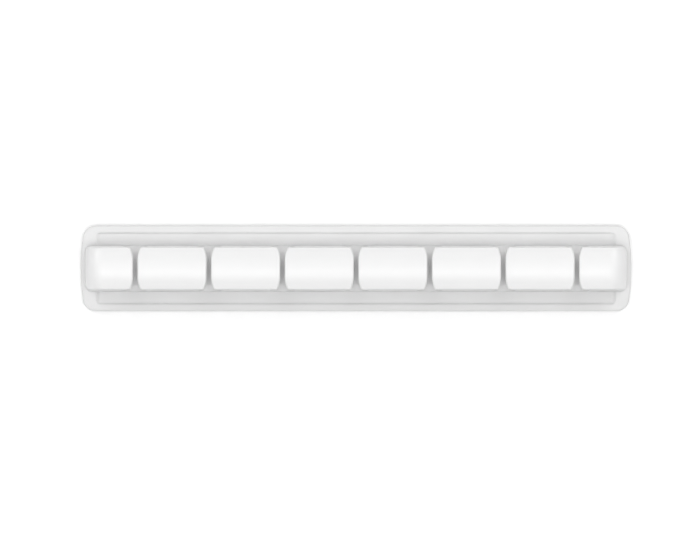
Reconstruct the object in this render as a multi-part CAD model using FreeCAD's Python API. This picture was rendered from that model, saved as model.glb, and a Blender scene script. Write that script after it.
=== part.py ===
import FreeCAD, Part
import math
import os

from FreeCAD import Vector

# Cable holder: a moulded silicone strip with slotted cable passages and an adhesive pad.
# Millimetres. X runs along the strip, Y across it and Z up. The origin is at the bottom centre,
# on the face of the pad that meets the desk.

# Outline of the strip, seen from above
strip_length = 135.0
strip_width = 21.0
corner_radius = 3.2
end_bulge_radius = 55.0

# Height of the rim above the underside of the moulding
rim_height = 3.0

# Ridge that holds the cables: its sides lean out from the crown to the foot
ridge_width = 10.2
side_lean = 0.6
crown_radius = 10.2
end_roll_radius = 4.2
end_corner_radius = 1.4
end_land = 1.3

# Pockets between the ridge and the rim: their floors fall towards the ridge, their walls lean out
# and their ends rise in a ramp
rim_width = 1.7
pocket_rim_depth = 0.3
pocket_depth = 0.9
pocket_wall_lean = 0.6
pocket_corner_radius = 1.8
pocket_end_land = 3.4
ramp_length = 1.7
ramp_overrise = 0.05

# Cable passages: the bores stand a little above the rim, and the slits open them at the crown.
# As many as the strip takes stand at one pitch about its middle, clear of the ridge's ends.
slot_pitch = 18.0
end_segment = 10.0
passage_bore = 5.0
passage_lift = 0.1
passage_straight = 4.0
mouth_radius = 10.0
flare_steps = 2
slit_width = 1.1
slit_depth = 3.9
slit_flare_radius = 7.0

# Rounded edges
ridge_edge_round = 0.3
slit_edge_bevel = 0.25
rim_edge_round = 0.5
underside_edge_bevel = 0.3

# Adhesive pad and its recess in the underside
pad_thickness = 1.0
pad_recess_depth = 0.6
pad_border = 3.0
pad_clearance = 0.3
pad_corner_radius = 2.0

# Modelling aids: how far a cutter runs past a wall, and the distance that counts as touching
cutter_overrun = 0.25
touching = 1e-4

# Places that follow from the sizes above
pad_proud = pad_thickness - pad_recess_depth
pad_length = strip_length - 2 * (pad_border + pad_clearance)
pad_width = strip_width - 2 * (pad_border + pad_clearance)
pocket_outer = strip_width / 2 - rim_width
passage_height = rim_height + passage_lift + passage_bore / 2
crown_height = passage_height + passage_bore / 2 + slit_depth
crown_edge_drop = crown_radius - math.sqrt(crown_radius ** 2 - (ridge_width / 2) ** 2)
ridge_foot = rim_height / 2
ridge_wall = ridge_width / 2
ridge_foot_wall = ridge_wall + side_lean
ridge_end = strip_length / 2 - end_land
cutter_end = ridge_foot_wall + cutter_overrun
slots_each_side = int((ridge_end - end_segment) / slot_pitch)
slot_places = [index * slot_pitch for index in range(-slots_each_side, slots_each_side + 1)]


def arc_through(points):
    """Arc through three points."""
    return Part.Arc(*points).toShape()


def arc_edge(centre, radius, start, end):
    """Arc in the XY plane about a centre, between two angles in degrees."""
    def point(angle):
        turn = math.radians(angle)
        return centre + Vector(radius * math.cos(turn), radius * math.sin(turn), 0)
    return arc_through([point(start), point((start + end) / 2), point(end)])


def closed_face(edges):
    """Flat face inside edges that meet end to end, with straight lines across any gap."""
    chain = []
    for index, edge in enumerate(edges):
        chain.append(edge)
        here = edge.valueAt(edge.LastParameter)
        following = edges[(index + 1) % len(edges)]
        there = following.valueAt(following.FirstParameter)
        if here.distanceToPoint(there) > touching:
            chain.append(Part.makeLine(here, there))
    return Part.Face(Part.Wire(chain))


def rounded_outline(length, width, radius, height):
    """Level wire with straight sides and rounded corners, centred on the Z axis."""
    x = length / 2 - radius
    y = width / 2 - radius
    corners = ((x, y, 0), (-x, y, 90), (-x, -y, 180), (x, -y, 270))
    edges = [arc_edge(Vector(cx, cy, height), radius, turn, turn + 90) for cx, cy, turn in corners]
    return closed_face(edges).OuterWire


def rounded_plate(length, width, radius, low, thickness):
    """Plate with straight sides and rounded corners, centred on the Z axis."""
    outline = rounded_outline(length, width, radius, low)
    return Part.Face(outline).extrude(Vector(0, 0, thickness))


def edges_at_height(shape, height):
    """Edges that lie level at one height."""
    return [edge for edge in shape.Edges
            if abs(edge.BoundBox.ZMin - height) < touching and abs(edge.BoundBox.ZMax - height) < touching]


def base_plate():
    """Flat plate under the ridge, with bulged ends and rounded corners and edges."""
    bulge_x = strip_length / 2 - end_bulge_radius
    corner_y = strip_width / 2 - corner_radius
    corner_x = bulge_x + math.sqrt((end_bulge_radius - corner_radius) ** 2 - corner_y ** 2)
    lean = math.degrees(math.atan2(corner_y, corner_x - bulge_x))
    edges = [
        arc_edge(Vector(bulge_x, 0, 0), end_bulge_radius, -lean, lean),
        arc_edge(Vector(corner_x, corner_y, 0), corner_radius, lean, 90),
        arc_edge(Vector(-corner_x, corner_y, 0), corner_radius, 90, 180 - lean),
        arc_edge(Vector(-bulge_x, 0, 0), end_bulge_radius, 180 - lean, 180 + lean),
        arc_edge(Vector(-corner_x, -corner_y, 0), corner_radius, 180 + lean, 270),
        arc_edge(Vector(corner_x, -corner_y, 0), corner_radius, 270, 360 - lean),
    ]
    plate = closed_face(edges).extrude(Vector(0, 0, rim_height))
    plate = plate.makeFillet(rim_edge_round, edges_at_height(plate, rim_height))
    return plate.makeChamfer(underside_edge_bevel, edges_at_height(plate, 0))


def ramp_arcs(start, end):
    """Two arcs that rise or fall in an S between two points of an XZ plane, level at both ends."""
    run = end.x - start.x
    rise = end.z - start.z
    radius = (run ** 2 + rise ** 2) / (4 * abs(rise))
    half_turn = math.asin(abs(run) / (2 * radius)) / 2
    reach = math.copysign(radius * math.sin(half_turn), run)
    lift = math.copysign(radius * (1 - math.cos(half_turn)), rise)
    middle = (start + end) / 2
    step = Vector(reach, 0, lift)
    return [arc_through([start, start + step, middle]), arc_through([middle, end - step, end])]


def pocket_floor(distance):
    """Height of the pockets' floor at a distance from the strip's middle line."""
    share = (pocket_outer - distance) / (pocket_outer - ridge_wall)
    return rim_height - pocket_rim_depth - share * (pocket_depth - pocket_rim_depth)


def pocket_profile(side, distance):
    """Lengthwise outline of a pocket at a distance from the strip's middle line."""
    floor = pocket_floor(distance)
    top = rim_height + ramp_overrise
    end = strip_length / 2 - pocket_end_land
    feet = [Vector(x, side * distance, floor) for x in (end - ramp_length, ramp_length - end)]
    tops = [Vector(x, side * distance, top) for x in (end, -end)]
    return closed_face(ramp_arcs(feet[0], tops[0]) + ramp_arcs(tops[1], feet[1])).OuterWire


def pocket(side):
    """Pocket beside the ridge, as a cutter: leaning walls, a sloping floor and a ramp at each end."""
    middle = side * (ridge_wall + pocket_outer) / 2
    length = strip_length - 2 * pocket_end_land
    width = pocket_outer - ridge_wall
    bottom = rounded_outline(
        length - 2 * pocket_wall_lean, width - 2 * pocket_wall_lean,
        pocket_corner_radius - pocket_wall_lean, rim_height - pocket_depth)
    top = rounded_outline(length, width, pocket_corner_radius, rim_height)
    walls = Part.makeLoft([bottom, top], True, True).translated(Vector(0, middle, 0))
    reach = (ridge_wall - cutter_overrun, pocket_outer + cutter_overrun)
    trough = Part.makeLoft([pocket_profile(side, distance) for distance in reach], True, True)
    return walls.common(trough)


def ridge_section(x):
    """Upright section of the ridge: leaning sides under a shallow arc."""
    edge_height = crown_height - crown_edge_drop
    places = ((ridge_wall, edge_height), (0, crown_height), (-ridge_wall, edge_height))
    arc = arc_through([Vector(x, y, z) for y, z in places])
    foot = Part.makeLine(Vector(x, -ridge_foot_wall, ridge_foot), Vector(x, ridge_foot_wall, ridge_foot))
    return closed_face([arc, foot])


def crown_end_edges(bar):
    """The arched edge where the crown meets the upright end of the bar."""
    return [edge for edge in bar.Edges
            if edge.BoundBox.XMin > ridge_end - touching
            and abs(edge.BoundBox.ZMax - crown_height) < touching]


def roll_side_edges(bar):
    """The two curved edges where the rolled end meets the leaning sides of the bar."""
    roll_start = ridge_end - end_roll_radius
    return [edge for edge in bar.Edges
            if abs(edge.BoundBox.XMin - roll_start) < touching
            and edge.BoundBox.XLength > touching
            and edge.BoundBox.YMin * edge.BoundBox.YMax > 0]


def plain_ridge():
    """Crowned bar with leaning sides, whose crown rolls down into the upright ends.

    One half is shaped and mirrored. The round along its sides grows over the rolled end, from the
    edge of the crown to the upright corner.
    """
    half = ridge_section(0).extrude(Vector(ridge_end, 0, 0))
    half = half.makeFillet(end_roll_radius, crown_end_edges(half))
    half = half.makeFillet(ridge_edge_round, end_corner_radius, roll_side_edges(half))
    return half.fuse(half.mirror(Vector(0, 0, 0), Vector(1, 0, 0))).removeSplitter()


def flare(distance, radius):
    """Growth of a passage's half width at a distance from the middle of the ridge."""
    beyond = max(distance - passage_straight / 2, 0)
    return radius - math.sqrt(radius ** 2 - beyond ** 2)


def slit_half_width(distance):
    """Half width of a slit at a distance from the middle of the ridge."""
    return slit_width / 2 + flare(distance, slit_flare_radius)


def bore():
    """Round bore that widens in steps along a curve towards both walls, turned about the Y axis."""
    straight = passage_straight / 2
    step = (cutter_end - straight) / flare_steps
    stations = [straight + index * step for index in range(flare_steps + 1)]
    half = [Vector(0, y, passage_bore / 2 + flare(y, mouth_radius)) for y in stations]
    outline = [Vector(0, -cutter_end, 0)] + [Vector(0, -point.y, point.z) for point in reversed(half)]
    outline += half + [Vector(0, cutter_end, 0), outline[0]]
    return Part.Face(Part.makePolygon(outline)).revolve(Vector(0, 0, 0), Vector(0, 1, 0), 360)


def slit():
    """Hourglass slit above the bore, from its centre line to above the crown."""
    stations = (cutter_end, (passage_straight / 2 + cutter_end) / 2, passage_straight / 2)

    def wall(x_side, y_side, places):
        return arc_through([Vector(x_side * slit_half_width(y), y_side * y, 0) for y in places])

    edges = []
    for side in (1, -1):
        edges.append(wall(side, -side, stations))
        edges.append(wall(side, side, stations[::-1]))
    return closed_face(edges).extrude(Vector(0, 0, crown_height))


def at_each_slot(shape):
    """Copies of one cutter at the height of the passages, evenly spaced along the strip."""
    return [shape.translated(Vector(x, 0, passage_height)) for x in slot_places]


def slit_rim(body, skin):
    """Edges where the slits meet the outer skin of the uncut ridge."""
    def beside_slit(point):
        if point.z < passage_height or abs(point.y) > ridge_foot_wall:
            return False
        offset = min(abs(point.x - x) for x in slot_places)
        return abs(offset - slit_half_width(abs(point.y))) < touching

    def on_rim(edge):
        points = edge.discretize(5)
        return (all(beside_slit(point) for point in points)
                and all(skin.distToShape(Part.Vertex(point))[0] < touching for point in points))

    return [edge for edge in body.Edges if on_rim(edge)]


def holder_body():
    """The moulding: plate, pockets and slotted ridge in one solid, with a recess for the pad."""
    plate = base_plate().cut([pocket(side) for side in (1, -1)])
    uncut = plain_ridge().fuse(plate).removeSplitter()
    body = uncut.cut(at_each_slot(bore().fuse(slit())))
    body = body.makeChamfer(slit_edge_bevel, slit_rim(body, uncut.Shells[0]))
    recess = rounded_plate(
        pad_length + 2 * pad_clearance, pad_width + 2 * pad_clearance,
        pad_corner_radius + pad_clearance, 0, pad_recess_depth)
    body = body.cut(recess)
    return body.translated(Vector(0, 0, pad_proud))


def adhesive_pad():
    """Die-cut pad that fills the recess and stands a little proud of it."""
    return rounded_plate(pad_length, pad_width, pad_corner_radius, 0, pad_thickness)


os.makedirs("parts", exist_ok=True)
parts = {"holder_body": holder_body(), "adhesive_pad": adhesive_pad()}
for name, shape in parts.items():
    solid = shape.Solids[0]
    solid.exportStep("parts/" + name + ".step")
    print(name, "solids", len(shape.Solids), "valid", shape.isValid(), "volume", round(shape.Volume, 1))
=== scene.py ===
import math

import bpy
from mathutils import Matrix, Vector


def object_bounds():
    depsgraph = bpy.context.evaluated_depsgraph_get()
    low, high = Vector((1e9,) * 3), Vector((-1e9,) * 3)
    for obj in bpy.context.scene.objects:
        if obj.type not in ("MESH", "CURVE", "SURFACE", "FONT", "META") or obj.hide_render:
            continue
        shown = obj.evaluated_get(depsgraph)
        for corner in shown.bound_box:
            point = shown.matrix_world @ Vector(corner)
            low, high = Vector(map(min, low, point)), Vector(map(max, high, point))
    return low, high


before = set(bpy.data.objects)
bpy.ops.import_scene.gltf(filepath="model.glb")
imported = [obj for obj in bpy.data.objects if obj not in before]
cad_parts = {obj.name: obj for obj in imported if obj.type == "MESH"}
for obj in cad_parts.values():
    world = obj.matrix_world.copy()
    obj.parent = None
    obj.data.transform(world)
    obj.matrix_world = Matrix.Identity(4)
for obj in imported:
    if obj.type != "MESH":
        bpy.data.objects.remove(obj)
cad_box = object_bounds()

# A white silicone cable holder on a white floor, seen from straight above. Metres, +Z up.

# The photograph's frame and where the object's centre and its two ends stand in it, in pixels
photo_width = 690
photo_height = 547
centre_px = (356.0, 268.4)
outline_left_px = 80.5
outline_right_px = 631.4

# Camera: far away with a long lens, so that the plan looks as flat as in the photograph.
# It stands at this distance above the top of the rim, where the photograph's scale is taken.
camera_distance = 4.0
camera_reach = 12.0
sensor_width = 36.0
rim_top = 0.0034

# Floor: its own whiteness, and the share of white that the camera sees on top of what it reflects
floor_size = 6.0
floor_level = 0.0
floor_white = 0.85
floor_glow = 0.2
floor_roughness = 0.9

# Silicone: the thin plate is duller than the thick ridge, its edges look softer, and painted shade
# makes it a little darker. All below plate_top looks as the plate, and all above ridge_from as the
# ridge.
plate_top = 0.0036
ridge_from = 0.0075
silicone_tone = (0.805, 0.815)
# Painted shade: the plate's colour is this share of the ridge's colour
plate_painted_shade = 0.9
plate_roughness = 0.5
ridge_roughness = 0.3
roughness_drift = 0.015
plate_edge_softness = 0.0006
ridge_edge_softness = 0.0002
edge_samples = 6
wave_depth = 0.000006
grain_depth = 0.000006
silicone_ior = 1.41
translucency = 0.08
scatter_radius = 0.0006

# Foam: a pit in the middle of each cell, darkened by painted shade. Its tone rises from there
# until cell_wall, a share of the cell's size.
foam_cell = 0.0004
cell_wall = 0.8
foam_tone_with_pit_shade = (0.62, 0.74)
foam_roughness = (0.75, 0.9)
pit_depth = 0.00005

# Noises: the size of their features and their detail. Nearly all their values lie in noise_span.
tone_noise = (0.012, 3.0)
roughness_noise = (0.004, 4.0)
wave_noise = (0.006, 1.0)
grain_noise = (0.00022, 2.0)
foam_noise = (0.003, 2.0)
noise_span = (0.3, 0.7)

# Soft lamps that face the object: name, then heading from +X and elevation in degrees and
# distance, then the two sides, then the brightness of the face
lamp_far = 2.0
lamp_near = 0.22
lamps = (
    ("lamp_overhead", (-90, 90, lamp_far), (1.6, 0.5), 1.4),
    ("lamp_front_high", (-90, 80, lamp_far), (1.6, 0.35), 5.0),
    ("lamp_front", (-90, 70, lamp_far), (1.6, 0.35), 3.0),
    ("lamp_front_low", (-90, 35, lamp_far), (1.6, 0.6), 1.3),
    ("lamp_back_high", (90, 78, lamp_far), (1.6, 0.35), 1.4),
    ("lamp_back_left", (135, 35, lamp_far), (0.9, 0.6), 4.6),
    ("lamp_back_right", (45, 35, lamp_far), (0.9, 0.6), 4.6),
    ("lamp_left", (180, 45, lamp_near), (0.3, 0.1), 0.65),
    ("lamp_right", (0, 45, lamp_near), (0.3, 0.1), 0.65),
)

# World: white to the camera and in reflections, with this strength as light on the object
world_light = 0.25

# Plain white, as a colour
white = (1.0, 1.0, 1.0, 1.0)


def new_material(name):
    """New node material, with its tree and its Principled shader."""
    material = bpy.data.materials.new(name)
    material.use_nodes = True
    tree = material.node_tree
    return material, tree, tree.nodes["Principled BSDF"]


def add_node(tree, kind, inputs=None, **settings):
    """Node of one kind, with its settings and the values of its inputs."""
    node = tree.nodes.new(kind)
    for key, value in settings.items():
        setattr(node, key, value)
    for key, value in (inputs or {}).items():
        node.inputs[key].default_value = value
    return node


def noise(tree, place, size, detail):
    """Noise whose features are about the given size in metres."""
    node = add_node(tree, "ShaderNodeTexNoise", {"Scale": 1 / size, "Detail": detail})
    tree.links.new(place, node.inputs["Vector"])
    return node.outputs["Fac"]


def spread(tree, value, low, high, start=0.0, end=1.0):
    """Maps the values from start to end onto those from low to high."""
    node = add_node(tree, "ShaderNodeMapRange", {
        "From Min": start, "From Max": end, "To Min": low, "To Max": high})
    tree.links.new(value, node.inputs["Value"])
    return node.outputs["Result"]


def combine(tree, operation, first, second):
    """Sum, product or maximum of two values."""
    node = add_node(tree, "ShaderNodeMath", operation=operation)
    tree.links.new(first, node.inputs[0])
    tree.links.new(second, node.inputs[1])
    return node.outputs["Value"]


def grey(tree, tone):
    """Neutral colour of a given tone."""
    node = add_node(tree, "ShaderNodeCombineColor")
    for channel in ("Red", "Green", "Blue"):
        tree.links.new(tone, node.inputs[channel])
    return node.outputs["Color"]


def bump(tree, height, depth, under=None):
    """Bump of a real depth in metres, on top of another normal."""
    node = add_node(tree, "ShaderNodeBump", {"Strength": 1.0, "Distance": depth})
    tree.links.new(height, node.inputs["Height"])
    if under:
        tree.links.new(under, node.inputs["Normal"])
    return node.outputs["Normal"]


def seen_share(tree):
    """1 for rays from the camera, reflected and transmitted ones too, and 0 for all others."""
    path = add_node(tree, "ShaderNodeLightPath")
    seen = combine(tree, "MAXIMUM", path.outputs["Is Camera Ray"], path.outputs["Is Glossy Ray"])
    return combine(tree, "MAXIMUM", seen, path.outputs["Is Transmission Ray"])


def silicone_material():
    """White moulded silicone: satin and slightly translucent, a little duller where it is thin,
    with painted shade that darkens the thin plate.
    """
    material, tree, shader = new_material("white_silicone_look")
    place = add_node(tree, "ShaderNodeTexCoord").outputs["Object"]
    axes = add_node(tree, "ShaderNodeSeparateXYZ")
    tree.links.new(place, axes.inputs["Vector"])
    ridge_share = spread(tree, axes.outputs["Z"], 0.0, 1.0, plate_top, ridge_from)

    tone_drift = spread(tree, noise(tree, place, *tone_noise), *silicone_tone, *noise_span)
    # Painted shade: below ridge_from the colour is made darker, as the plate's shade
    painted_shade_factor = spread(tree, ridge_share, plate_painted_shade, 1.0)
    tone = combine(tree, "MULTIPLY", tone_drift, painted_shade_factor)
    tree.links.new(grey(tree, tone), shader.inputs["Base Color"])

    drift = spread(
        tree, noise(tree, place, *roughness_noise), -roughness_drift, roughness_drift, *noise_span)
    middle = spread(tree, ridge_share, plate_roughness, ridge_roughness)
    tree.links.new(combine(tree, "ADD", drift, middle), shader.inputs["Roughness"])

    edges = add_node(tree, "ShaderNodeBevel", samples=edge_samples)
    softness = spread(tree, ridge_share, plate_edge_softness, ridge_edge_softness)
    tree.links.new(softness, edges.inputs["Radius"])
    waves = bump(tree, noise(tree, place, *wave_noise), wave_depth, edges.outputs["Normal"])
    grain = bump(tree, noise(tree, place, *grain_noise), grain_depth, waves)
    tree.links.new(grain, shader.inputs["Normal"])

    shader.inputs["IOR"].default_value = silicone_ior
    shader.inputs["Subsurface Weight"].default_value = translucency
    shader.inputs["Subsurface Radius"].default_value = (scatter_radius,) * 3
    shader.inputs["Subsurface Scale"].default_value = 1.0
    return material


def foam_material():
    """Grey-white closed-cell foam with a pitted surface, and painted shade that darkens each pit.
    """
    material, tree, shader = new_material("adhesive_foam_look")
    place = add_node(tree, "ShaderNodeTexCoord").outputs["Object"]
    cells = add_node(tree, "ShaderNodeTexVoronoi", {"Scale": 1 / foam_cell})
    tree.links.new(place, cells.inputs["Vector"])
    pits = cells.outputs["Distance"]
    # Painted shade: darkest in the middle of each pit, lighter towards the cell walls
    tone = spread(tree, pits, *foam_tone_with_pit_shade, end=cell_wall)
    tree.links.new(grey(tree, tone), shader.inputs["Base Color"])
    rough = spread(tree, noise(tree, place, *foam_noise), *foam_roughness, *noise_span)
    tree.links.new(rough, shader.inputs["Roughness"])
    tree.links.new(bump(tree, pits, pit_depth), shader.inputs["Normal"])
    return material


def floor_material():
    """White floor that takes the object's shadow and shows as white to the camera elsewhere."""
    material, tree, shader = new_material("floor_white")
    shader.inputs["Base Color"].default_value = (floor_white, floor_white, floor_white, 1.0)
    shader.inputs["Roughness"].default_value = floor_roughness
    shader.inputs["Specular IOR Level"].default_value = 0.0
    shader.inputs["Emission Color"].default_value = white
    glow = spread(tree, seen_share(tree), 0.0, floor_glow)
    tree.links.new(glow, shader.inputs["Emission Strength"])
    return material


def build_world():
    """White surroundings for the camera and in reflections, and a dimmer light on the object."""
    world = bpy.data.worlds.new("studio")
    bpy.context.scene.world = world
    world.use_nodes = True
    tree = world.node_tree
    back = tree.nodes["Background"]
    back.inputs["Color"].default_value = white
    level = spread(tree, seen_share(tree), world_light, 1.0)
    tree.links.new(level, back.inputs["Strength"])


def build_floor():
    """Plain floor at the level of the pad's face."""
    half = floor_size / 2
    mesh = bpy.data.meshes.new("floor")
    corners = [(x * half, y * half, floor_level) for x, y in ((-1, -1), (1, -1), (1, 1), (-1, 1))]
    mesh.from_pydata(corners, [], [(0, 1, 2, 3)])
    mesh.materials.append(floor_material())
    floor = bpy.data.objects.new("floor", mesh)
    bpy.context.scene.collection.objects.link(floor)


def lamp_place(heading, elevation, distance):
    """Point in a given direction and distance from the object."""
    turn = math.radians(heading)
    rise = math.radians(elevation)
    level = distance * math.cos(rise)
    return (level * math.cos(turn), level * math.sin(turn), distance * math.sin(rise))


def soft_lamp(name, place, sides, radiance):
    """Rectangular lamp that faces the object, given by the brightness of its face."""
    lamp = bpy.data.lights.new(name, "AREA")
    lamp.shape = "RECTANGLE"
    lamp.size, lamp.size_y = sides
    lamp.energy = radiance * math.pi * sides[0] * sides[1]
    item = bpy.data.objects.new(name, lamp)
    item.location = place
    item.rotation_euler = (-Vector(place)).to_track_quat("-Z", "Y").to_euler()
    item.visible_camera = False
    bpy.context.scene.collection.objects.link(item)


def build_camera():
    """Camera that looks straight down, framed as the photograph."""
    low, high = cad_box
    scale = (high.x - low.x) / (outline_right_px - outline_left_px)
    centre_x = (low.x + high.x) / 2 + (photo_width / 2 - centre_px[0]) * scale
    centre_y = (low.y + high.y) / 2 - (photo_height / 2 - centre_px[1]) * scale
    data = bpy.data.cameras.new("camera")
    data.sensor_width = sensor_width
    data.lens = sensor_width * camera_distance / (photo_width * scale)
    data.clip_end = camera_reach
    camera = bpy.data.objects.new("camera", data)
    camera.location = (centre_x, centre_y, rim_top + camera_distance)
    bpy.context.scene.collection.objects.link(camera)
    bpy.context.scene.camera = camera


def dress(node, material):
    """Puts one material in every slot of a node."""
    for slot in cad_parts[node].material_slots:
        slot.material = material


build_camera()
build_world()
build_floor()
for lamp_name, direction, sides, radiance in lamps:
    soft_lamp(lamp_name, lamp_place(*direction), sides, radiance)
dress("holder_body", silicone_material())
dress("adhesive_pad", foam_material())

bpy.context.scene.view_settings.view_transform = "Standard"
